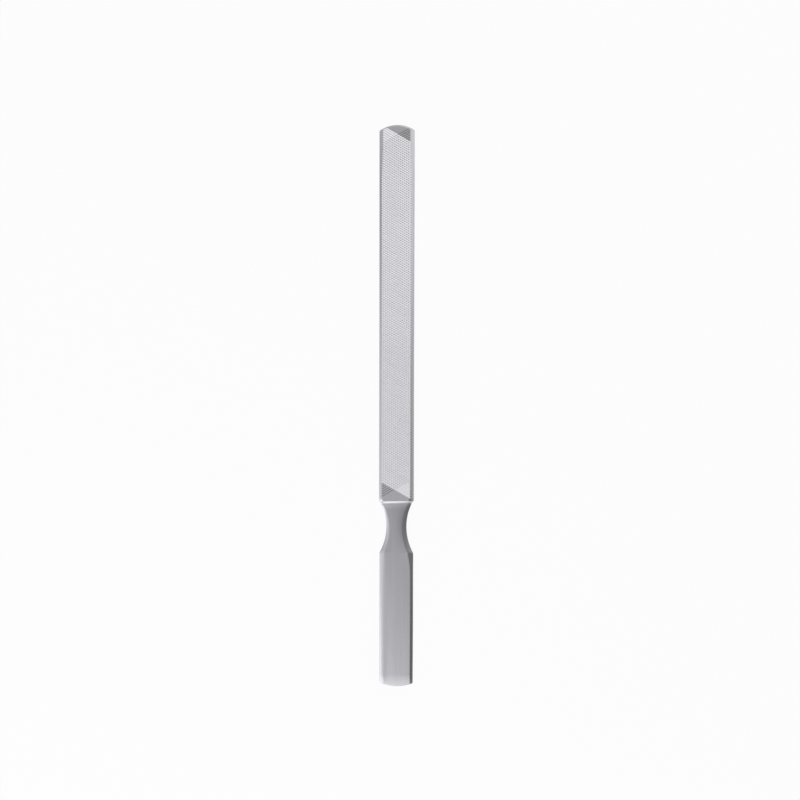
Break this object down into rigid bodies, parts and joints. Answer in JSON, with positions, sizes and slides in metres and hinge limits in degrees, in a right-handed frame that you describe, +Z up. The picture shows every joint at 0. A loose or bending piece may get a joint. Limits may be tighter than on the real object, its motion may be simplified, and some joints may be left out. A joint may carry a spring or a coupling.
{
  "type": "nail file",
  "caption": "Flat steel nail file: a straight blade with diagonal cuts on both faces, set by a hidden tang in a flat handle with a waisted neck.",
  "frame": {"origin": "on the surface the file lies on, under the middle of its length and width", "axes": "+Y along the file towards the blade's tip, +Z up through its thickness, +X across its width"},
  "size_m": [0.0104, 0.165, 0.0026],
  "materials": {
    "cut_steel": "stainless steel, cut with two crossed sets of teeth, ground and polished on the bevels",
    "satin_steel": "stainless steel, satin"
  },
  "bodies": {
    "root": {"file_blade": "cut_steel", "handle": "satin_steel"}
  },
  "joints": []
}
